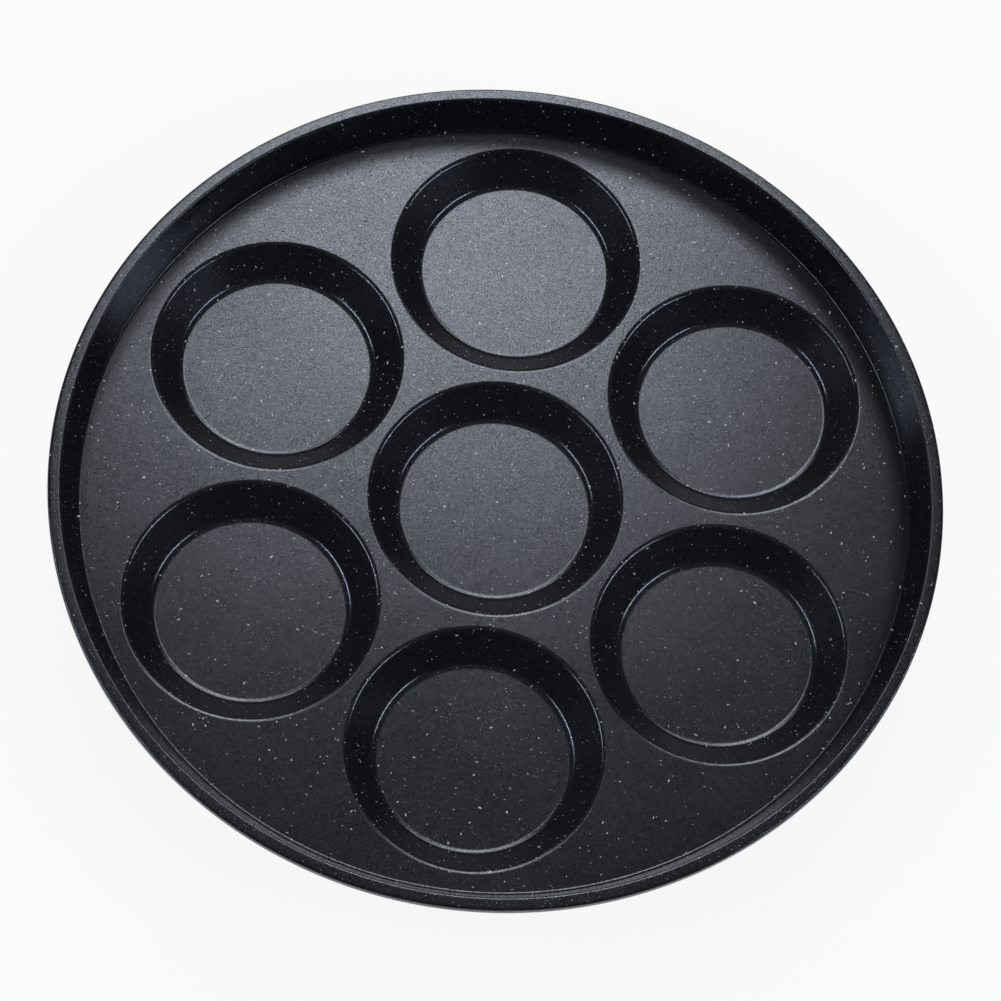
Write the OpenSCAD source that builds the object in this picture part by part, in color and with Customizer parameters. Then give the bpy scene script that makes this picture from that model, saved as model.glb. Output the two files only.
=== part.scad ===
// Round cast-aluminium pan with seven shallow wells, for small pancakes.
// Millimetres. Z = 0 is the hob, +Z is up, and the Z axis runs through the middle well.

/* [Wells] */
// Mouth diameter of a well
well_d = 76.6; // [60:0.2:84]
// Depth of a well below the cooking floor
well_depth = 8.5; // [5:0.5:12]
// Lean of a well's wall, in degrees from upright
well_slope = 45; // [30:1:55]
// Number of wells in the ring round the middle one
ring_count = 6; // [3:1:6]
// Width of the floor left between neighbouring wells
well_gap = 4.8; // [3:0.2:12]
// Radius of the round along a well's mouth
mouth_round = 2; // [1:0.1:3]
// Radius of the round at the bottom of a well's wall
bottom_round = 3; // [1:0.1:5]

/* [Floor, wall and rim] */
// Width of the floor left between the outer wells and the wall
edge_gap = 6.6; // [5:0.2:16]
// Thickness of the floor
floor_t = 3.2; // [2.4:0.1:4.5]
// Height of the rim above the floor
wall_rise = 11.6; // [9:0.2:24]
// Lean of the wall, in degrees from upright
wall_lean = 22.5; // [10:0.5:35]
// Thickness of the wall where it leaves the floor
wall_t = 3.2; // [2.4:0.1:4.5]
// Width of the rim
rim_w = 3.9; // [3.4:0.1:6]
// Height of the upright edge round the rim
lip_h = 2.4; // [2:0.1:4]
// Radius of the round along the rim's inner edge
rim_in_round = 1.2; // [0.6:0.1:1.6]
// Radius of the round along the rim's outer edge
rim_out_round = 1.3; // [0.6:0.1:1.6]
// Radius of the round between the floor and the wall
floor_round = 1; // [0.5:0.1:3]
// Radius of the round under the wall, outside
heel_round = 4; // [1:0.5:6]

/* [Underside] */
// Thickness of the metal and film under a well
base_t = 4; // [3:0.1:6]
// Thickness of a well's wall
cup_t = 3.2; // [2.4:0.1:4]
// Height of a well's machined foot below the coated metal
foot_h = 0.5; // [0.3:0.1:1]
// Width of the coated shoulder round a foot
foot_step = 1.2; // [0.6:0.1:4]
// Radius of the round at the bottom of a well, outside
shoulder_round = 2.4; // [1:0.1:3]
// Radius of the fillet between a well and the floor's underside
web_round = 1.5; // [0.5:0.1:2]

/* [Steel discs] */
// Thickness of a steel disc
disc_t = 0.6; // [0.4:0.1:1]
// Width of the bare metal left round a disc
foot_rim = 3.5; // [2:0.1:6]
// Diameter of the holes in a disc
hole_d = 3.4; // [2.4:0.1:5]
// Distance between the rings of holes
hole_pitch = 8; // [6:0.5:11]
// Least distance from a hole's centre to the disc's edge
hole_edge = 5; // [3.5:0.5:8]
// Clearance round a disc, and round each stud in its hole
fit_gap = 0.1; // [0.05:0.05:0.2]

/* [Films] */
// Thickness of the non-stick and outside films
film_t = 0.3; // [0.2:0.05:0.4]
// How far the non-stick film wraps down the outside of the rim
wrap_h = 1.8; // [1.6:0.1:2]

/* [Hidden] */
$fn = 144;

// Heights of the main faces
well_z = base_t;
floor_z = well_z + well_depth;
under_z = floor_z - floor_t;
rim_z = floor_z + wall_rise;

// Radii of the main corners, before they are rounded
ring_r = well_d + well_gap;
floor_r = ring_r + well_d / 2 + edge_gap;
rim_in_r = floor_r + wall_rise * tan(wall_lean);
rim_out_r = rim_in_r + rim_w;
heel_r = floor_r + wall_t / cos(wall_lean) - floor_t * tan(wall_lean);

// Radius of a well's wall at height z, off millimetres outside its inner face
function well_r(z, off) =
    well_d / 2 - (floor_z - z) * tan(well_slope) + off / cos(well_slope);

// A round turns the corner between a level face and the slope of a well
slope_turn = tan((90 - well_slope) / 2);
foot_r = well_r(foot_h, cup_t) - shoulder_round * slope_turn - foot_step;
disc_r = foot_r - foot_rim;

// The fillet under the floor stops short of halfway between two wells
web_room = ring_r / 2 - well_r(under_z, cup_t);
web_limit = max(0.1, 0.9 * web_room / slope_turn);

// Centres of the wells: the middle one, then the ring, anticlockwise from the far side
well_centres = concat([[0, 0]],
    [for (i = [0:ring_count - 1]) ring_r * [cos(90 + i * 360 / ring_count), sin(90 + i * 360 / ring_count)]]);

// Geometry of outlines

function unit(v) = v / norm(v);
function right_of(v) = [v[1], -v[0]];
// Turn at corner i of an outline: positive where the outline turns left
function turn(pts, i) = cross(pts[i] - pts[i - 1], pts[i + 1] - pts[i]);
// Half the angle between the two sides that meet at corner i
function half_angle(pts, i) =
    acos(unit(pts[i - 1] - pts[i]) * unit(pts[i + 1] - pts[i])) / 2;
// Point on the side from corner i towards corner j, where a round of radius r ends
function round_end(pts, i, j, r) =
    pts[i] + unit(pts[j] - pts[i]) * r / tan(half_angle(pts, i));

// Outline moved outwards by d, with its two ends moved squarely
function moved(pts, d) = let (last = len(pts) - 1) [
    for (i = [0:last])
        let (a = right_of(unit(pts[max(i, 1)] - pts[max(i, 1) - 1])),
             b = right_of(unit(pts[min(i, last - 1) + 1] - pts[min(i, last - 1)])))
            pts[i] + d * (a + b) / (1 + a * b)
];

// Radii of the same rounds after the outline has moved outwards by d
function moved_rounds(pts, radii, d) = [
    for (i = [0:len(pts) - 1])
        radii[i] == 0 ? 0 : radii[i] + (turn(pts, i) > 0 ? d : -d)
];

// Part of a round's circle that lies beyond the chord between its two ends
module round_segment(pts, i, r) {
    from = round_end(pts, i, i - 1, r);
    to = round_end(pts, i, i + 1, r);
    out = unit(pts[i] - (from + to) / 2);
    intersection() {
        translate(pts[i] - out * r / sin(half_angle(pts, i))) circle(r);
        polygon([from, from + r * out, to + r * out, to]);
    }
}

// Closed outline with its corners rounded, each by its own radius
module rounded(pts, radii) {
    inner = [for (i = [1:len(pts) - 2]) if (radii[i] > 0) i];
    difference() {
        union() {
            polygon([for (i = [0:len(pts) - 1])
                each radii[i] == 0 ? [pts[i]]
                    : [round_end(pts, i, i - 1, radii[i]), round_end(pts, i, i + 1, radii[i])]]);
            for (i = inner) if (turn(pts, i) > 0) round_segment(pts, i, radii[i]);
        }
        for (i = inner) if (turn(pts, i) < 0) round_segment(pts, i, radii[i]);
    }
}

// Outlines of the pan

// Section through the floor, wall and rim, from the axis round to the axis again
section = [[0, under_z], [heel_r, under_z], [rim_out_r, rim_z - lip_h], [rim_out_r, rim_z],
           [rim_in_r, rim_z], [floor_r, floor_z], [0, floor_z]];
section_rounds = [0, heel_round, lip_h - wrap_h, rim_out_round, rim_in_round, floor_round, 0];

module pan_section(d) {
    rounded(moved(section, d), moved_rounds(section, section_rounds, d));
}

// Parts the section's skin: what lies above this outline is the cooking side
module cooking_side() {
    mid_z = (floor_z + under_z) / 2;
    part_z = rim_z - wrap_h;
    polygon([[0, mid_z], [(floor_r + heel_r) / 2, mid_z], [(rim_in_r + rim_out_r) / 2, part_z],
             [rim_out_r + 1, part_z], [rim_out_r + 1, rim_z + 1], [0, rim_z + 1]]);
}

module pan_skin() {
    difference() {
        pan_section(0);
        pan_section(-film_t);
    }
}

// Round tapered plug, from bottom_z to top_z, that flares out into the level above it
module plug(bottom_z, top_z, off, low_round, high_round, d) {
    top_r = well_r(top_z, off);
    line = [[0, bottom_z], [well_r(bottom_z, off), bottom_z], [top_r, top_z],
            [top_r + high_round * slope_turn, top_z]];
    rounds = [0, low_round, high_round, 0];
    outline = moved(line, d);
    rotate_extrude()
        rounded(concat(outline, [[0, top_z - d]]), concat(moved_rounds(line, rounds, d), [0]));
}

// Hollow of a well, d larger all round
module well_hollow(d) {
    plug(well_z, floor_z, 0, bottom_round, mouth_round, d);
}

// Outer shape of a well beneath the floor, d larger all round
module well_outside(d) {
    plug(foot_h, under_z, cup_t, shoulder_round, min(web_round, web_limit), d);
}

module at_wells() {
    for (p = well_centres) translate(p) children();
}

// Holes of a disc: one in the middle, then rings of 6, 12 and so on
module disc_holes(radius, height) {
    cylinder(r = radius, h = height);
    for (ring = [1:floor((disc_r - hole_edge) / hole_pitch)])
        for (i = [1:6 * ring])
            rotate(i * 60 / ring) translate([ring * hole_pitch, 0]) cylinder(r = radius, h = height);
}

// Sub-parts

module pan_body() {
    color("silver") difference() {
        union() {
            rotate_extrude() pan_section(-film_t);
            at_wells() {
                well_outside(-film_t);
                cylinder(r = foot_r, h = well_z / 2);
            }
        }
        at_wells() {
            well_hollow(film_t);
            difference() {
                translate([0, 0, -1]) cylinder(r = disc_r + fit_gap, h = disc_t + 1);
                disc_holes(hole_d / 2 - fit_gap, disc_t + 1);
            }
        }
    }
}

module nonstick_coating() {
    color([0.16, 0.17, 0.2]) difference() {
        union() {
            rotate_extrude() intersection() {
                pan_skin();
                cooking_side();
            }
            at_wells() well_hollow(film_t);
        }
        at_wells() well_hollow(0);
    }
}

module outside_coating() {
    color([0.08, 0.08, 0.09]) difference() {
        union() {
            rotate_extrude() difference() {
                pan_skin();
                cooking_side();
            }
            at_wells() well_outside(0);
        }
        at_wells() {
            well_outside(-film_t);
            cylinder(r = foot_r, h = well_z / 2);
        }
    }
}

// Steel disc number i, counted from 1 at the middle well
module induction_disc(i) {
    color("lightsteelblue") translate(well_centres[i - 1]) difference() {
        cylinder(r = disc_r, h = disc_t);
        translate([0, 0, -1]) disc_holes(hole_d / 2, disc_t + 2);
    }
}

pan_body();
nonstick_coating();
outside_coating();
for (i = [1:ring_count + 1])
    induction_disc(i);
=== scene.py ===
import bpy
import numpy as np
from mathutils import Matrix, Vector


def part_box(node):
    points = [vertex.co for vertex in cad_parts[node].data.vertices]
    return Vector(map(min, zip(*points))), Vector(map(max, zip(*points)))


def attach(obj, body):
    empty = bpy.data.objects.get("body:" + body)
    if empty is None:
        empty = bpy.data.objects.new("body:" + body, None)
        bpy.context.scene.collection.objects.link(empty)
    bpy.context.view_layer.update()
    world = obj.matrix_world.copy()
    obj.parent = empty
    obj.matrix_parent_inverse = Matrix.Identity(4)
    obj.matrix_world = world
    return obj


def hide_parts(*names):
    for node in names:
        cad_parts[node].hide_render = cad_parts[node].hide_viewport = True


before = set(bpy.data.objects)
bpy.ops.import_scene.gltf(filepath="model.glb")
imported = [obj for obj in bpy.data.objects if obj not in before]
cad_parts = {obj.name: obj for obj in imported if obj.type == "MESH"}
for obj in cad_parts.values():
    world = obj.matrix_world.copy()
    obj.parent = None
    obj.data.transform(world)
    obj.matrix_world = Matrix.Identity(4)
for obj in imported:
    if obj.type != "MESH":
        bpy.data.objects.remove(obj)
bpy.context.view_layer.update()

# Shape of the pan, in millimetres, as the source of the solids has it
pan = {
    "wellMouth": 76.6,        # diameter of a well at the floor
    "wellGap": 4.8,           # floor left between two wells
    "wellSlope": 45.0,        # lean of a well's wall, degrees from upright
    "wellBottom": 4.0,        # height of a well's bottom
    "floorTop": 12.5,
    "floorUnder": 9.3,
    "edgeGap": 6.6,           # floor left between the outer wells and the wall
    "wallLean": 22.5,         # degrees from upright, inside
    "wallThick": 3.2,
    "partingDrop": 1.8,       # how far the cooking side's coating wraps down the rim
    "lipHeight": 2.4,
    "ringCount": 6,           # the cells below are made for six
}
# Divisions of the floor's cells and of the well in the middle
cellSteps = {"outer": 52, "flank": 34, "inner": 24, "middle": 144}
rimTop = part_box("nonstick_coating")[1].z * 1000
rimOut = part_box("nonstick_coating")[1].x * 1000
ringRadius = pan["wellMouth"] + pan["wellGap"]
floorRadius = ringRadius + pan["wellMouth"] / 2 + pan["edgeGap"]
ringAngles = 90 + np.arange(pan["ringCount"]) * 360 / pan["ringCount"]
wellCentres = ringRadius * np.column_stack([np.cos(np.radians(ringAngles)), np.sin(np.radians(ringAngles))])
print("frame loaded, rim", round(rimOut * 2, 2), "mm across and", round(rimTop, 2), "mm high")


def unit(vector):
    return vector / np.linalg.norm(vector)


def roundCorners(corners, radii, steps):
    # Each corner becomes an arc that touches both sides at radius / tan(half angle) from the corner.
    corners = np.asarray(corners, float)
    runs = [corners[:1]]
    for before, corner, after, radius in zip(corners, corners[1:], corners[2:], radii):
        back, ahead = unit(before - corner), unit(after - corner)
        half = np.arccos(back @ ahead) / 2
        centre = corner + unit(back + ahead) * radius / np.sin(half)
        start = corner + back * radius / np.tan(half) - centre
        end = corner + ahead * radius / np.tan(half) - centre
        turn = np.pi - 2 * half
        t = np.linspace(0, 1, steps + 1)[:, None]
        runs.append(centre + (np.sin((1 - t) * turn) * start + np.sin(t * turn) * end) / np.sin(turn))
    runs.append(corners[-1:])
    return np.vstack(runs)


def addRows(profile, guard, parts):
    # Straight runs longer than three guards get rows at a guard's distance from both ends, so that the
    # shading of a round stays in the round, and even rows between.
    along = np.concatenate([[0], np.cumsum(np.linalg.norm(np.diff(profile, axis=0), axis=1))])
    start, length = along[:-1], np.diff(along)
    long = length > 3 * guard
    shares = np.arange(1, parts) / parts
    inner = (start[long, None] + length[long, None] * shares).ravel()
    stations = np.unique(np.concatenate([along, start[long] + guard, (start + length)[long] - guard, inner]))
    return np.column_stack([np.interp(stations, along, profile[:, k]) for k in (0, 1)])


def outerCorner(outerRadius):
    # Angle at a ring well's centre, from its outward side to the point where its cell, the next one and the
    # outer circle meet.
    half = np.radians(30)
    return np.arctan2(outerRadius * np.sin(half), outerRadius * np.cos(half) - ringRadius)


def cellEdge(angle, outerRadius, ringWell):
    # Distance from a well's centre to the edge of its share of the floor: straight sides halfway to each
    # neighbour, at apothem / cos(angle from the side's middle), and the outer circle where there is none.
    apothem = ringRadius / 2
    side = np.round(angle / np.radians(60))
    side = np.radians(60) * (np.clip(side, 2, 4) if ringWell else side)
    edge = apothem / np.cos(angle - side)
    if ringWell:
        circle = -ringRadius * np.cos(angle) + np.sqrt(outerRadius ** 2 - (ringRadius * np.sin(angle)) ** 2)
        onCircle = np.abs(angle) <= outerCorner(outerRadius) + 1e-9    # both ends of the arc are on it
        edge = np.where(onCircle, circle, edge)
    return edge


def cellAngles(outerRadius):
    # Angles round a ring well, from its outward side, that meet its neighbours' at the shared sides.
    corner = outerCorner(outerRadius)
    innerCorner = np.radians(150)
    arc = np.linspace(-corner, corner, cellSteps["outer"] + 1)
    flank = np.linspace(corner, innerCorner, cellSteps["flank"] + 1)
    inward = np.linspace(innerCorner, 2 * np.pi - innerCorner, cellSteps["inner"] + 1)
    flankBack = 2 * np.pi - flank[::-1]
    return np.concatenate([arc, flank[1:], inward[1:], flankBack[1:]])


def gridFaces(rows, columns, first, flip):
    # Quads of a grid of points, numbered row by row from the first, whose last column is the first again.
    i, j = np.meshgrid(np.arange(rows - 1), np.arange(columns - 1), indexing="ij")
    a = first + i * columns + j
    quads = np.stack([a, a + columns, a + columns + 1, a + 1], axis=-1).reshape(-1, 4)
    return quads[:, ::-1] if flip else quads


def floorCells(profile, floorHeight, outerRadius, guard, flip):
    # The seven wells with the floor round them: in each, a profile turned about the well's axis, whose last
    # rows run on from the mouth to the edge of the well's share of the floor.
    points, faces, count = [], [], 0
    wells = [((0, 0), np.pi / 2), *zip(wellCentres, np.radians(ringAngles))]
    for number, (centre, turn) in enumerate(wells):
        ringWell = number > 0
        angle = cellAngles(outerRadius) if ringWell else np.linspace(0, 2 * np.pi, cellSteps["middle"] + 1)
        edge = cellEdge(angle, outerRadius, ringWell)
        mouth = profile[-1, 0]
        flat = np.stack([mouth + guard + 0 * edge, (mouth + edge) / 2, edge - guard, edge])
        radius = np.vstack([np.repeat(profile[:, :1], len(angle), axis=1), flat])
        height = np.concatenate([profile[:, 1], np.full(len(flat), floorHeight)])[:, None] + 0 * radius
        x = centre[0] + radius * np.cos(angle + turn)
        y = centre[1] + radius * np.sin(angle + turn)
        points.append(np.stack([x, y, height], axis=-1).reshape(-1, 3))
        faces.append(gridFaces(*radius.shape, count, flip))
        count += radius.size
    return np.vstack(points), np.vstack(faces)


def turnedBand(profile, azimuths, first, flip):
    # A profile turned about the pan's axis, at the azimuths where the cells meet the outer circle.
    radius, height = profile[:, :1], profile[:, 1:] + 0 * azimuths
    grid = np.stack([radius * np.cos(azimuths), radius * np.sin(azimuths), height], axis=-1)
    return grid.reshape(-1, 3), gridFaces(len(profile), len(azimuths), first, flip)


def outerAzimuths(outerRadius):
    # Azimuths of the cells' points on the outer circle, seen from the pan's axis, once round.
    corner = outerCorner(outerRadius)
    angle = np.linspace(-corner, corner, cellSteps["outer"] + 1)
    edge = cellEdge(angle, outerRadius, True)
    azimuth = np.arctan2(edge * np.sin(angle), ringRadius + edge * np.cos(angle))
    turns = np.radians(ringAngles)[:, None] + azimuth[None, :-1]
    return np.append(turns.ravel(), turns[0, 0] + 2 * np.pi)


# Points are one where they agree to this many decimals of a millimetre; the shift keeps round values, which
# stand on a rounding edge, on one side of it
weld = {"decimals": 4, "shift": 3.17e-5}


def meshPiece(name, points, faces, wall):
    # A mesh of the grid's quads, smooth but for its border, with the film's thickness laid inwards.
    keys = np.round(points + weld["shift"], weld["decimals"]) + 0.0
    firstUse, place = np.unique(keys, axis=0, return_index=True, return_inverse=True)[1:]
    faces = place.ravel()[faces]
    # Quads that closed up at a pole become triangles.
    lastIsFirst = faces[:, 3] == faces[:, 0]
    secondIsFirst = faces[:, 1] == faces[:, 0]
    lastIsThird = faces[:, 3] == faces[:, 2]
    triangles = np.vstack([faces[lastIsFirst][:, :3], faces[secondIsFirst][:, 1:], faces[lastIsThird][:, :3]])
    quads = faces[~(lastIsFirst | secondIsFirst | lastIsThird)]
    mesh = bpy.data.meshes.new(name)
    mesh.from_pydata((points[firstUse] / 1000).tolist(), [], quads.tolist() + triangles.tolist())
    mesh.validate()
    mesh.polygons.foreach_set("use_smooth", np.ones(len(mesh.polygons), bool))
    loopEdges = np.empty(len(mesh.loops), np.int32)
    mesh.loops.foreach_get("edge_index", loopEdges)
    border = np.bincount(loopEdges, minlength=len(mesh.edges)) == 1
    mesh.attributes.new("sharp_edge", "BOOLEAN", "EDGE").data.foreach_set("value", border)
    mesh.update()
    piece = bpy.data.objects.new(name, mesh)
    bpy.context.scene.collection.objects.link(piece)
    thick = piece.modifiers.new("filmThickness", "SOLIDIFY")
    thick.thickness = wall / 1000
    thick.offset = -1
    print(name, "made,", len(mesh.polygons), "faces,", int(border.sum()), "edges on its border")
    return piece


# Cooking side: rim, inner wall, floor and wells
cookingSide = {
    "mouthRound": 2.0,
    "bottomRound": 3.0,
    "floorRound": 1.0,
    "rimInRound": 0.8,
    "rimOutRound": 0.8,
    "rimCrown": 0.02,         # drop of the rim's two edges below its crown
    "guard": 0.2,             # distance of a guard row from a round
    "wellSteps": 9,           # divisions of each round in a well
    "wallSteps": 8,           # divisions of each round of the wall and rim
    "rowParts": 3,            # parts of each long straight run
    "filmThick": 0.25,
}


def wellRadius(height, off):
    # Radius of a well's straight wall at a height, off millimetres outside its inner face.
    slope = np.radians(pan["wellSlope"])
    return pan["wellMouth"] / 2 - (pan["floorTop"] - height) * np.tan(slope) + off / np.cos(slope)


def makeCookingSurface():
    # The well's profile from its middle to its mouth, turned about each well's axis, and the wall's from the
    # floor to the parting line, turned about the pan's. The cells' flat rows join the two.
    c = cookingSide
    top, bottom = pan["floorTop"], pan["wellBottom"]
    well = roundCorners([[0, bottom], [wellRadius(bottom, 0), bottom], [wellRadius(top, 0), top],
                         [floorRadius, top]], [c["bottomRound"], c["mouthRound"]], c["wellSteps"])[:-1]
    well = addRows(well, c["guard"], c["rowParts"])
    rimIn = floorRadius + (rimTop - top) * np.tan(np.radians(pan["wallLean"]))
    wall = roundCorners([[0, top], [floorRadius, top], [rimIn, rimTop], [rimOut, rimTop],
                         [rimOut, rimTop - pan["partingDrop"]]],
                        [c["floorRound"], c["rimInRound"], c["rimOutRound"]], c["wallSteps"])[1:]
    wall = addRows(wall, c["guard"], c["rowParts"])
    # The rim's top is a shallow crown: each point sinks with the square of its distance from the middle.
    spread = (wall[:, 0] - (rimIn + rimOut) / 2) / ((rimOut - rimIn) / 2)
    rise = np.clip((wall[:, 1] - rimTop + pan["partingDrop"]) / pan["partingDrop"], 0, 1)
    wall[:, 1] -= c["rimCrown"] * np.minimum(spread ** 2, 1) * rise
    outerRadius = wall[0, 0]
    points, faces = floorCells(well, top, outerRadius, c["guard"], False)
    bandPoints, bandFaces = turnedBand(wall, outerAzimuths(outerRadius), len(points), False)
    points, faces = np.vstack([points, bandPoints]), np.vstack([faces, bandFaces])
    return meshPiece("cookingSurface", points, faces, c["filmThick"])


# Underside and outer wall, from the edge of each machined foot out to the lip
outsideShape = {
    "footStep": 0.5,          # height of a foot below the painted metal
    "footRadius": 28.65,
    "cupThick": 3.2,
    "shoulderRound": 2.4,
    "webRound": 1.5,
    "heelRound": 4.0,
    "lipRound": 0.6,
    "guard": 0.15,
    "cupSteps": 7,
    "wallSteps": 8,
    "rowParts": 3,
    "filmThick": 0.25,
}


def makeOutsideSkin():
    # The outside of a cup from its foot up to the floor's underside, and the wall from there to the parting
    # line, each turned about its axis.
    c = outsideShape
    under, low = pan["floorUnder"], c["footStep"]
    cup = roundCorners([[c["footRadius"], low], [wellRadius(low, c["cupThick"]), low],
                        [wellRadius(under, c["cupThick"]), under], [floorRadius, under]],
                       [c["shoulderRound"], c["webRound"]], c["cupSteps"])[:-1]
    cup = addRows(cup, c["guard"], c["rowParts"])
    lean = np.radians(pan["wallLean"])
    heel = floorRadius + pan["wallThick"] / np.cos(lean) - (pan["floorTop"] - under) * np.tan(lean)
    wall = roundCorners([[0, under], [heel, under], [rimOut, rimTop - pan["lipHeight"]],
                         [rimOut, rimTop - pan["partingDrop"]]],
                        [c["heelRound"], c["lipRound"]], c["wallSteps"])[1:]
    wall = addRows(wall, c["guard"], c["rowParts"])
    outerRadius = wall[0, 0]
    points, faces = floorCells(cup, under, outerRadius, c["guard"], True)
    bandPoints, bandFaces = turnedBand(wall, outerAzimuths(outerRadius), len(points), True)
    points, faces = np.vstack([points, bandPoints]), np.vstack([faces, bandFaces])
    return meshPiece("outsideSkin", points, faces, c["filmThick"])


cookingSurface = makeCookingSurface()
outsideSkin = makeOutsideSkin()


# Small helpers for node trees

def put(tree, kind, sockets=None, **settings):
    # One node: settings are its own properties, sockets its inputs, as values or as other nodes' outputs.
    node = tree.nodes.new(kind)
    for name, value in settings.items():
        setattr(node, name, value)
    for key, value in (sockets or {}).items():
        if isinstance(value, bpy.types.NodeSocket):
            tree.links.new(value, node.inputs[key])
        else:
            node.inputs[key].default_value = value
    return node


def maths(tree, operation, *values):
    # One sum on its operands, each a value or another node's output.
    return put(tree, "ShaderNodeMath", dict(enumerate(values)), operation=operation).outputs[0]


def vectorMaths(tree, operation, *values):
    node = put(tree, "ShaderNodeVectorMath", dict(enumerate(values)), operation=operation)
    return node.outputs["Value"] if operation in ("LENGTH", "DISTANCE") else node.outputs["Vector"]


def blendColour(tree, factor, low, high):
    # The low colour at 0 and the high one at 1, each three numbers or another node's output.
    node = put(tree, "ShaderNodeMix", {"Factor": factor}, data_type="RGBA")
    for socket, value in ((node.inputs[6], low), (node.inputs[7], high)):
        if isinstance(value, bpy.types.NodeSocket):
            tree.links.new(value, socket)
        else:
            socket.default_value = (*value, 1)
    return node.outputs[2]


def remap(tree, value, low, high, newLow, newHigh, smooth=False):
    # The span from low to high moved to the new one, and held at its ends.
    sockets = {"Value": value, "From Min": low, "From Max": high, "To Min": newLow, "To Max": newHigh}
    kind = "SMOOTHSTEP" if smooth else "LINEAR"
    return put(tree, "ShaderNodeMapRange", sockets, interpolation_type=kind).outputs["Result"]


def effectGroup(name, inputs, outputs):
    # An empty node group, with its inputs' kinds and first values, and its outputs' kinds.
    tree = bpy.data.node_groups.new(name, "ShaderNodeTree")
    for label, kind, value in inputs:
        socket = tree.interface.new_socket(label, in_out="INPUT", socket_type=kind)
        if value is not None:
            socket.default_value = value
    for label, kind in outputs:
        tree.interface.new_socket(label, in_out="OUTPUT", socket_type=kind)
    return tree, tree.nodes.new("NodeGroupInput").outputs, tree.nodes.new("NodeGroupOutput")


def useEffect(tree, group, sockets):
    # The group's outputs, placed in a tree with its own values.
    return put(tree, "ShaderNodeGroup", sockets, node_tree=group).outputs


# What all flecks share, whatever their size
fleckShape = {
    "seedStep": (0.171, 0.093, 0.237),    # shift of the pattern from seed to seed, in metres
    "ragged": 1.5,                # bend of the outline, in sizes of a fleck
    "raggedPitch": 6.0,           # bends to a cell
    "sizes": (0.55, 1.45),        # smallest and largest, against the size asked for
    "edge": (0.85, 1.05),         # where the mask falls from 1 to 0, in radii
    "toneSpread": 7.31,           # parts a fleck's tone from its turn
}


def makeFleckGroup():
    # Chips scattered through space: a cell's chip is an ellipse turned at random about its own point, and
    # the surface cuts through some of them, which gives many small ones and few large ones.
    c = fleckShape
    tree, given, result = effectGroup(
        "stoneFlecks",
        [("Vector", "NodeSocketVector", None), ("Cells", "NodeSocketFloat", 400.0),
         ("Size", "NodeSocketFloat", 0.14), ("Stretch", "NodeSocketFloat", 1.6),
         ("Share", "NodeSocketFloat", 0.4), ("Seed", "NodeSocketFloat", 0.0)],
        [("Mask", "NodeSocketFloat"), ("Tone", "NodeSocketFloat")])
    seed = put(tree, "ShaderNodeCombineXYZ", {axis: given["Seed"] for axis in range(3)}).outputs[0]
    place = vectorMaths(tree, "MULTIPLY_ADD", seed, c["seedStep"], given["Vector"])
    bends = maths(tree, "MULTIPLY", given["Cells"], c["raggedPitch"])
    rough = put(tree, "ShaderNodeTexNoise", {"Vector": place, "Scale": bends, "Detail": 1.0})
    wander = vectorMaths(tree, "SUBTRACT", rough.outputs["Color"], (0.5, 0.5, 0.5))
    reach = maths(tree, "DIVIDE", maths(tree, "MULTIPLY", given["Size"], c["ragged"]), given["Cells"])
    wander = put(tree, "ShaderNodeVectorMath", {0: wander, "Scale": reach}, operation="SCALE").outputs[0]
    bent = vectorMaths(tree, "ADD", place, wander)
    cells = put(tree, "ShaderNodeTexVoronoi", {"Vector": bent, "Scale": given["Cells"]})
    local = vectorMaths(tree, "SUBTRACT", bent, cells.outputs["Position"])
    dice = put(tree, "ShaderNodeSeparateColor", {0: cells.outputs["Color"]}).outputs
    angle = maths(tree, "MULTIPLY", dice[0], 2 * np.pi)
    turned = put(tree, "ShaderNodeVectorRotate", {"Vector": local, "Angle": angle}, rotation_type="Z_AXIS")
    narrow = put(tree, "ShaderNodeCombineXYZ", {0: 1.0, 1: given["Stretch"], 2: 1.0}).outputs[0]
    oval = vectorMaths(tree, "MULTIPLY", turned.outputs[0], narrow)
    away = maths(tree, "MULTIPLY", vectorMaths(tree, "LENGTH", oval), given["Cells"])
    size = maths(tree, "MULTIPLY", given["Size"], remap(tree, dice[1], 0.0, 1.0, *c["sizes"]))
    inside = remap(tree, maths(tree, "DIVIDE", away, size), *c["edge"], 1.0, 0.0, True)
    chosen = maths(tree, "LESS_THAN", dice[2], given["Share"])
    tree.links.new(maths(tree, "MULTIPLY", inside, chosen), result.inputs["Mask"])
    tone = maths(tree, "FRACT", maths(tree, "MULTIPLY", dice[0], c["toneSpread"]))
    tree.links.new(tone, result.inputs["Tone"])
    return tree


def makeGrainGroup():
    # Powdery grain of a sprayed coat: each dried droplet has its own gloss, and a low dome.
    tree, given, result = effectGroup(
        "sprayGrain", [("Vector", "NodeSocketVector", None), ("Pitch", "NodeSocketFloat", 0.0005)],
        [("Grain", "NodeSocketFloat"), ("Dome", "NodeSocketFloat")])
    scale = maths(tree, "DIVIDE", 1.0, given["Pitch"])
    drops = put(tree, "ShaderNodeTexVoronoi", {"Vector": given["Vector"], "Scale": scale})
    dice = put(tree, "ShaderNodeSeparateColor", {0: drops.outputs["Color"]}).outputs
    tree.links.new(dice[0], result.inputs["Grain"])
    tree.links.new(maths(tree, "SUBTRACT", 1.0, drops.outputs["Distance"]), result.inputs["Dome"])
    return tree


# Part of a noise that is stretched from 0 to 1, because its values seldom leave it
noiseSpan = (0.3, 0.7)


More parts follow.
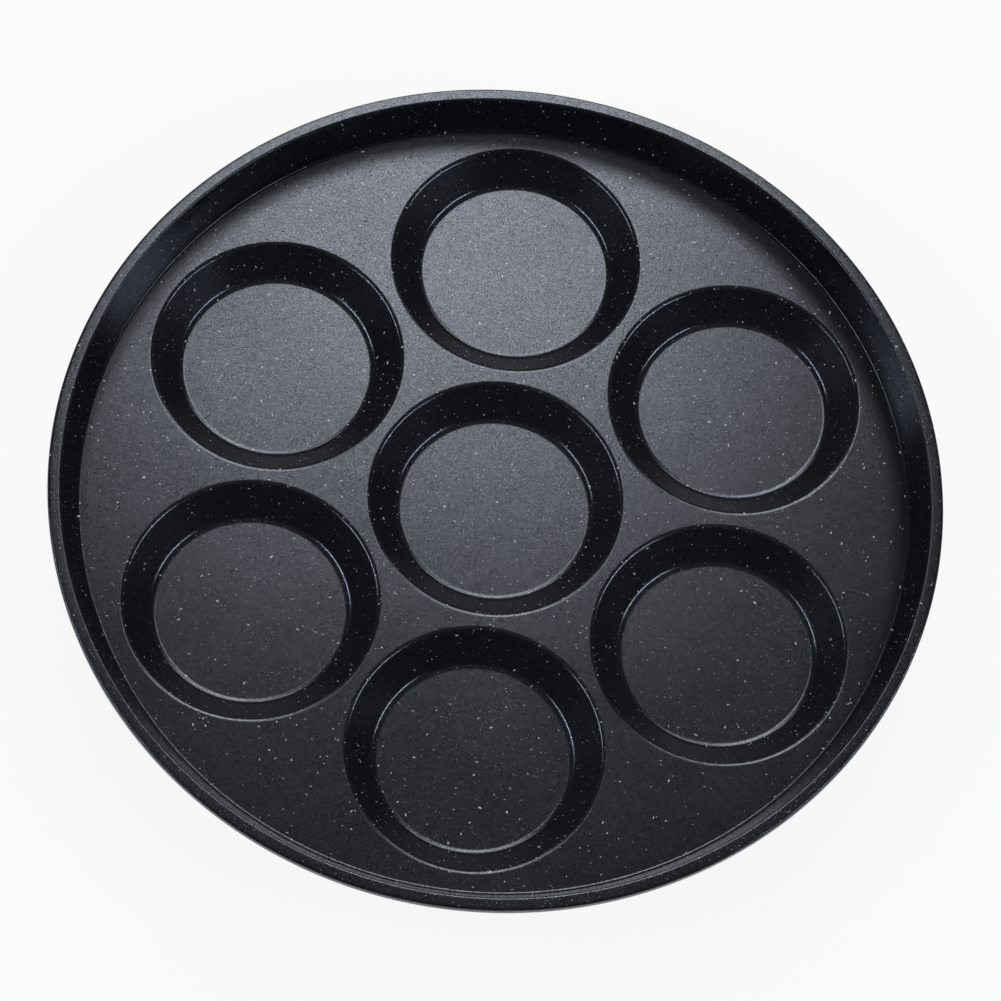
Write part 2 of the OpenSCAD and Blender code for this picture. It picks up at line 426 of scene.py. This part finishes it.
def makeCloudGroup():
    # Slow drift of tone, gloss and level, a few centimetres from crest to crest.
    tree, given, result = effectGroup(
        "slowClouds", [("Vector", "NodeSocketVector", None), ("Pitch", "NodeSocketFloat", 0.03),
                       ("Low", "NodeSocketFloat", 0.0), ("High", "NodeSocketFloat", 1.0)],
        [("Value", "NodeSocketFloat")])
    noise = put(tree, "ShaderNodeTexNoise", {"Vector": given["Vector"], "Detail": 2.0,
                                             "Scale": maths(tree, "DIVIDE", 1.0, given["Pitch"])})
    value = remap(tree, noise.outputs["Fac"], *noiseSpan, given["Low"], given["High"])
    tree.links.new(value, result.inputs["Value"])
    return tree


def makeRingGroup():
    # Tool marks of a lathe: lines at random spacing round the axis of the nearest well.
    tree, given, result = effectGroup(
        "turnedRings", [("Vector", "NodeSocketVector", None), ("Pitch", "NodeSocketFloat", 0.0004)],
        [("Lines", "NodeSocketFloat")])
    level = vectorMaths(tree, "MULTIPLY", given["Vector"], (1, 1, 0))
    radius = vectorMaths(tree, "LENGTH", level)
    for x, y in wellCentres / 1000:
        radius = maths(tree, "MINIMUM", radius, vectorMaths(tree, "DISTANCE", level, (x, y, 0)))
    cuts = put(tree, "ShaderNodeTexNoise", {"W": radius, "Detail": 3.0,
                                            "Scale": maths(tree, "DIVIDE", 1.0, given["Pitch"])},
               noise_dimensions="1D")
    tree.links.new(remap(tree, cuts.outputs["Fac"], *noiseSpan, 0.0, 1.0), result.inputs["Lines"])
    return tree


stoneFlecks = makeFleckGroup()
sprayGrain = makeGrainGroup()
slowClouds = makeCloudGroup()
turnedRings = makeRingGroup()
print("shared effects built")


def startMaterial(name, viewColour):
    # A material with its Principled shader, the colour it has in the viewport, and Object coordinates.
    material = bpy.data.materials.new(name)
    material.use_nodes = True
    material.diffuse_color = (*viewColour, 1)
    tree = material.node_tree
    tree.nodes.clear()
    shader = tree.nodes.new("ShaderNodeBsdfPrincipled")
    output = tree.nodes.new("ShaderNodeOutputMaterial")
    tree.links.new(shader.outputs[0], output.inputs["Surface"])
    coordinates = tree.nodes.new("ShaderNodeTexCoord").outputs["Object"]
    return material, tree, shader, coordinates


def bump(tree, height, distance, before=None):
    # Normal of a surface raised by height times distance, on top of the normal before it.
    sockets = {"Height": height, "Distance": distance}
    if before is not None:
        sockets["Normal"] = before
    return put(tree, "ShaderNodeBump", sockets).outputs["Normal"]


# Stone-effect coating: flecks and pits are (cells per metre, size in a cell, stretch, share of cells, seed),
# and flecks have their strength last
stoneFinish = {
    "viewColour": (0.05, 0.052, 0.06),
    "charcoal": (0.0090, 0.0088, 0.0105),
    "charcoalPale": (0.0118, 0.0115, 0.0138),
    "grainTone": (0.30, 1.70),    # dullest and palest droplets, against the colour above
    "fleckCream": (0.86, 0.82, 0.76),
    "fleckGrey": (0.88, 0.90, 0.93),
    "flecks": [(270.0, 0.10, 2.8, 0.44, 1.0, 1.0),
               (560.0, 0.115, 2.0, 0.44, 2.0, 1.0),
               (1000.0, 0.12, 1.2, 0.30, 3.0, 0.5)],
    "fleckFaintest": 0.7,         # strength of the faintest fleck of a size
    "pits": (330.0, 0.07, 1.2, 0.25, 5.0),
    "sheenTint": (0.80, 0.86, 1.0),
    "sheenLevel": (0.2, 1.17),    # specular level of the dullest and the glossiest droplets
    "roughness": 0.165,
    "roughnessDrift": 0.03,
    "paintedShadowCentre": (-0.0016, -0.0058, 0.0),    # painted shadow of the wall: the sheen is cut in the corner round this centre, deepest on the far side
    "paintedShadowRadii": (0.1205, 0.1285),    # where the painted shadow starts and where it is darkest
    "paintedShadowTop": (0.01253, 0.0128),     # heights between which the painted shadow ends on the wall
    "paintedShadowSheen": 0.08,          # share of the sheen left where the painted shadow is darkest
    "grainPitch": 0.00020,
    "grainDepth": 0.000006,
    "pitDrop": -6.0,              # level of a pit, in heights of a droplet
    "cloudPitch": 0.035,
    "wavePitch": 0.012,
    "waveDepth": 0.000012,
}


def scatter(tree, here, kind):
    # Flecks, pits or dust, given as cells per metre, size in a cell, stretch, share of cells and seed.
    names = ("Cells", "Size", "Stretch", "Share", "Seed")
    return useEffect(tree, stoneFlecks, {"Vector": here, **dict(zip(names, kind))})


def paintedWallShadow(tree, here, c):
    # Painted shadow of the wall on the floor: 1 on the open floor and on the wall, and least where the floor
    # runs into the wall.
    flat = vectorMaths(tree, "MULTIPLY", here, (1, 1, 0))
    away = vectorMaths(tree, "DISTANCE", flat, c["paintedShadowCentre"])
    height = put(tree, "ShaderNodeSeparateXYZ", {0: here}).outputs[2]
    above = remap(tree, height, *c["paintedShadowTop"], 0.0, 1.0, True)
    return maths(tree, "MAXIMUM", above, remap(tree, away, *c["paintedShadowRadii"], 1.0, c["paintedShadowSheen"], True))


def makeStoneMaterial():
    c = stoneFinish
    material, tree, shader, here = startMaterial("stoneCoating", c["viewColour"])
    grain = useEffect(tree, sprayGrain, {"Vector": here, "Pitch": c["grainPitch"]})
    clouds = useEffect(tree, slowClouds, {"Vector": here, "Pitch": c["cloudPitch"]})["Value"]
    colour = blendColour(tree, clouds, c["charcoal"], c["charcoalPale"])
    tone = remap(tree, grain["Grain"], 0.0, 1.0, *c["grainTone"])
    colour = put(tree, "ShaderNodeVectorMath", {0: colour, "Scale": tone}, operation="SCALE").outputs[0]
    for *fleckKind, strength in c["flecks"]:
        fleck = scatter(tree, here, fleckKind)
        depth = remap(tree, fleck["Tone"], 0.0, 1.0, c["fleckFaintest"] * strength, strength)
        tint = blendColour(tree, fleck["Tone"], c["fleckCream"], c["fleckGrey"])
        colour = blendColour(tree, maths(tree, "MULTIPLY", fleck["Mask"], depth), colour, tint)
    pit = scatter(tree, here, c["pits"])["Mask"]
    tree.links.new(colour, shader.inputs["Base Color"])
    # The sheen differs from droplet to droplet, and is missing in a pit. The export keeps only the socket's
    # own level, so that is the droplets' mean.
    sheen = remap(tree, grain["Grain"], 0.0, 1.0, *c["sheenLevel"])
    sheen = maths(tree, "MULTIPLY", sheen, maths(tree, "SUBTRACT", 1.0, pit))
    # Painted shadow of the wall: the sheen is cut where the floor runs into the wall, most on the far side.
    sheen = maths(tree, "MULTIPLY", sheen, paintedWallShadow(tree, here, c))
    shader.inputs["Specular IOR Level"].default_value = sum(c["sheenLevel"]) / 2
    tree.links.new(sheen, shader.inputs["Specular IOR Level"])
    shader.inputs["Specular Tint"].default_value = (*c["sheenTint"], 1)
    gloss = maths(tree, "MULTIPLY_ADD", clouds, c["roughnessDrift"], c["roughness"])
    tree.links.new(gloss, shader.inputs["Roughness"])
    wave = useEffect(tree, slowClouds, {"Vector": here, "Pitch": c["wavePitch"]})["Value"]
    normal = bump(tree, wave, c["waveDepth"])
    level = maths(tree, "MULTIPLY_ADD", pit, c["pitDrop"], grain["Dome"])
    normal = bump(tree, level, c["grainDepth"], normal)
    tree.links.new(normal, shader.inputs["Normal"])
    return material


# Black paint of the underside and outer wall
paintFinish = {
    "viewColour": (0.025, 0.025, 0.028),
    "black": (0.012, 0.012, 0.014),
    "blackWorn": (0.020, 0.020, 0.022),
    "dust": (420.0, 0.05, 1.1, 0.2, 8.0),
    "dustColour": (0.2, 0.2, 0.2),
    "dustStrength": 0.35,
    "roughness": 0.29,
    "peelRoughness": 0.05,    # added on top of a dome of the paint's peel
    "cloudRoughness": 0.06,
    "cloudPitch": 0.025,
    "peelPitch": 0.0011,
    "peelDepth": 0.000012,
}


def makePaintMaterial():
    c = paintFinish
    material, tree, shader, here = startMaterial("blackPaint", c["viewColour"])
    peel = useEffect(tree, sprayGrain, {"Vector": here, "Pitch": c["peelPitch"]})["Dome"]
    clouds = useEffect(tree, slowClouds, {"Vector": here, "Pitch": c["cloudPitch"]})["Value"]
    dust = maths(tree, "MULTIPLY", scatter(tree, here, c["dust"])["Mask"], c["dustStrength"])
    colour = blendColour(tree, clouds, c["black"], c["blackWorn"])
    tree.links.new(blendColour(tree, dust, colour, c["dustColour"]), shader.inputs["Base Color"])
    gloss = maths(tree, "MULTIPLY_ADD", clouds, c["cloudRoughness"], c["roughness"])
    gloss = maths(tree, "MULTIPLY_ADD", peel, c["peelRoughness"], gloss)
    tree.links.new(gloss, shader.inputs["Roughness"])
    tree.links.new(bump(tree, peel, c["peelDepth"]), shader.inputs["Normal"])
    return material


# Bare metals of the feet: cast aluminium and the steel discs pressed into it, turned in one pass
metalFinishes = {
    "turnedAluminium": {"low": (0.66, 0.66, 0.67), "high": (0.84, 0.84, 0.85), "roughness": 0.24,
                        "pitch": 0.00045, "depth": 0.000004},
    "turnedSteel": {"low": (0.43, 0.42, 0.405), "high": (0.60, 0.59, 0.57), "roughness": 0.20,
                    "pitch": 0.00032, "depth": 0.000003},
    "lineShare": 0.6,         # of the change in colour, and the rest is clouds
    "lineRoughness": 0.10,    # added on the lines, and the next in the grain
    "grainRoughness": 0.06,
    "grainPitch": 0.0006,
    "cloudPitch": 0.018,
}


def makeMetal(name):
    # Lines of the tool carry most of the change in colour and gloss, with clouds and grain under them.
    both, c = metalFinishes, metalFinishes[name]
    material, tree, shader, here = startMaterial(name, c["high"])
    lines = useEffect(tree, turnedRings, {"Vector": here, "Pitch": c["pitch"]})["Lines"]
    clouds = useEffect(tree, slowClouds, {"Vector": here, "Pitch": both["cloudPitch"]})["Value"]
    grain = useEffect(tree, sprayGrain, {"Vector": here, "Pitch": both["grainPitch"]})["Grain"]
    drift = maths(tree, "MULTIPLY", clouds, 1 - both["lineShare"])
    shade = maths(tree, "MULTIPLY_ADD", lines, both["lineShare"], drift)
    tree.links.new(blendColour(tree, shade, c["low"], c["high"]), shader.inputs["Base Color"])
    gloss = maths(tree, "MULTIPLY_ADD", grain, both["grainRoughness"], c["roughness"])
    gloss = maths(tree, "MULTIPLY_ADD", lines, both["lineRoughness"], gloss)
    tree.links.new(gloss, shader.inputs["Roughness"])
    tree.links.new(bump(tree, lines, c["depth"]), shader.inputs["Normal"])
    shader.inputs["Metallic"].default_value = 1.0
    return material


def dress(piece, material):
    piece.data.materials.clear()
    piece.data.materials.append(material)


dress(cookingSurface, makeStoneMaterial())
dress(outsideSkin, makePaintMaterial())
dress(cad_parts["pan_body"], makeMetal("turnedAluminium"))
discSteel = makeMetal("turnedSteel")
for number in range(1, pan["ringCount"] + 2):
    dress(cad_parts["induction_disc_%d" % number], discSteel)
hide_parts("nonstick_coating")
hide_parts("outside_coating")
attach(cookingSurface, "root")
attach(outsideSkin, "root")
print("materials placed")


# Studio: a light has its place, the point it faces, its width and height in metres, its radiance, and its
# spin in degrees about the line along which it shines
studio = {
    "rear": {"at": (-0.020, 1.264, 1.795), "aim": (0.0, -0.459, 0.780), "size": (0.5, 1.01), "radiance": 5.7},
    "back": {"at": (0.0, 1.6, 1.2), "aim": (0.0, 0.0, 0.0), "size": (1.5, 0.62), "radiance": 3.1},
    "fill": {"at": (0.0, 1.83, 0.81), "aim": (0.0, 0.0, 0.0), "size": (2.4, 0.5), "radiance": 0.25},
    "left": {"at": (-0.825, -0.110, 0.590), "aim": (0.0, 0.0, 0.0), "size": (0.66, 0.08),
             "radiance": 18.0, "spin": 18.0},
    "right": {"at": (0.815, -0.180, 0.580), "aim": (0.0, 0.0, 0.0), "size": (0.66, 0.08),
              "radiance": 18.0, "spin": -18.0},
    "sideTint": (0.78, 0.89, 1.0),
    "worldTint": (0.90, 0.92, 1.15),
    "worldDim": 0.05,
    "worldTop": 0.14,
    "horizon": (0.01, 0.05),  # heights of a direction, as sines, between which white turns dim
    "overhead": (0.80, 0.90),    # and between which the dim sides turn into the top
    "floorColour": 0.9,
    "floorRings": (0.0, 0.3, 1.0, 3.0),    # radii in metres
    "floorSteps": 96,
    "floorGlow": 0.90,        # share of the floor that is plain white to the camera and in reflections
}


def makeLight(name, c, tint):
    # Power of a flat lamp that has this radiance: radiance * pi * area.
    width, height = c["size"]
    lamp = bpy.data.lights.new(name, "AREA")
    lamp.shape = "RECTANGLE"
    lamp.size, lamp.size_y = width, height
    lamp.energy = c["radiance"] * np.pi * width * height
    lamp.color = tint
    light = bpy.data.objects.new(name, lamp)
    light.location = c["at"]
    facing = (Vector(c["aim"]) - Vector(c["at"])).to_track_quat("-Z", "Y").to_matrix()
    light.rotation_euler = (facing @ Matrix.Rotation(np.radians(c.get("spin", 0.0)), 3, "Z")).to_euler()
    light.visible_camera = False
    bpy.context.scene.collection.objects.link(light)


def makeFloor(c):
    # A disc of rings, level with the pan's feet: radius times the cosine and sine of the turn.
    turn = np.linspace(0, 2 * np.pi, c["floorSteps"] + 1)
    rings = np.array(c["floorRings"])[:, None]
    grid = np.stack([rings * np.cos(turn), rings * np.sin(turn), 0 * rings * turn], axis=-1).reshape(-1, 3)
    faces = gridFaces(len(rings), len(turn), 0, False)
    mesh = bpy.data.meshes.new("studioFloor")
    mesh.from_pydata(grid.tolist(), [], faces.tolist())
    floor = bpy.data.objects.new("studioFloor", mesh)
    bpy.context.scene.collection.objects.link(floor)
    material = bpy.data.materials.new("studioFloor")
    material.use_nodes = True
    tree = material.node_tree
    tree.nodes.clear()
    shade = c["floorColour"]
    matt = put(tree, "ShaderNodeBsdfDiffuse", {"Color": (shade, shade, shade, 1)}).outputs[0]
    white = put(tree, "ShaderNodeEmission", {"Color": (1, 1, 1, 1), "Strength": 1.0}).outputs[0]
    path = tree.nodes.new("ShaderNodeLightPath").outputs
    seen = maths(tree, "MAXIMUM", path["Is Camera Ray"],
                 maths(tree, "MAXIMUM", path["Is Glossy Ray"], path["Is Transmission Ray"]))
    share = maths(tree, "MULTIPLY", seen, c["floorGlow"])
    mixed = put(tree, "ShaderNodeMixShader", {0: share, 1: matt, 2: white}).outputs[0]
    output = tree.nodes.new("ShaderNodeOutputMaterial")
    tree.links.new(mixed, output.inputs["Surface"])
    floor.data.materials.append(material)


def makeWorld(c):
    # Dim all round, less so overhead, and white from just above the horizon down, where the floor ends.
    world = bpy.data.worlds.new("studioWorld")
    bpy.context.scene.world = world
    world.use_nodes = True
    tree = world.node_tree
    tree.nodes.clear()
    direction = tree.nodes.new("ShaderNodeTexCoord").outputs["Generated"]
    height = put(tree, "ShaderNodeSeparateXYZ", {0: direction}).outputs[2]
    upper = remap(tree, height, *c["horizon"], 0.0, 1.0, True)
    colour = blendColour(tree, upper, (1, 1, 1), [c["worldDim"] * part for part in c["worldTint"]])
    top = remap(tree, height, *c["overhead"], 0.0, 1.0, True)
    colour = blendColour(tree, top, colour, [c["worldTop"]] * 3)
    background = put(tree, "ShaderNodeBackground", {"Color": colour}).outputs[0]
    output = tree.nodes.new("ShaderNodeOutputWorld")
    tree.links.new(background, output.inputs["Surface"])


for lightName in ("rear", "back", "fill"):
    makeLight(lightName + "Softbox", studio[lightName], (1, 1, 1))
for lightName in ("left", "right"):
    makeLight(lightName + "Softbox", studio[lightName], studio["sideTint"])
makeFloor(studio)
makeWorld(studio)
print("studio set")

# Camera, fitted to the photograph's ellipses: it looks at a point of the floor from above
view = {
    "target": (0.001504, -0.000798, 0.0125),
    "distance": 1.28167,
    "elevation": 66.077,
    "azimuth": -3.667,
    "roll": 8.812,
    "lens": 151.96,
    "sensor": 36,
    "farthest": 50,           # metres that it sees
}


def makeCamera(c):
    # Columns of its matrix: right and up, turned by the roll about the direction that points back at the
    # camera, and that direction.
    raised, around, roll = np.radians([c["elevation"], c["azimuth"], c["roll"]])
    right = np.array([np.cos(around), np.sin(around), 0])
    level = np.array([np.sin(around), -np.cos(around), 0])
    back = np.cos(raised) * level + [0, 0, np.sin(raised)]
    up = np.cross(back, right)
    across, upwards = np.cos(roll) * right + np.sin(roll) * up, np.cos(roll) * up - np.sin(roll) * right
    axes = Matrix(np.column_stack([across, upwards, back]).tolist())
    camera = bpy.data.objects.new("photoCamera", bpy.data.cameras.new("photoCamera"))
    camera.data.lens = c["lens"]
    camera.data.sensor_width = c["sensor"]
    camera.data.clip_end = c["farthest"]
    place = Vector(c["target"]) + c["distance"] * Vector(back)
    camera.matrix_world = Matrix.Translation(place) @ axes.to_4x4()
    bpy.context.scene.collection.objects.link(camera)
    bpy.context.scene.camera = camera


makeCamera(view)
bpy.context.scene.view_settings.view_transform = "Standard"
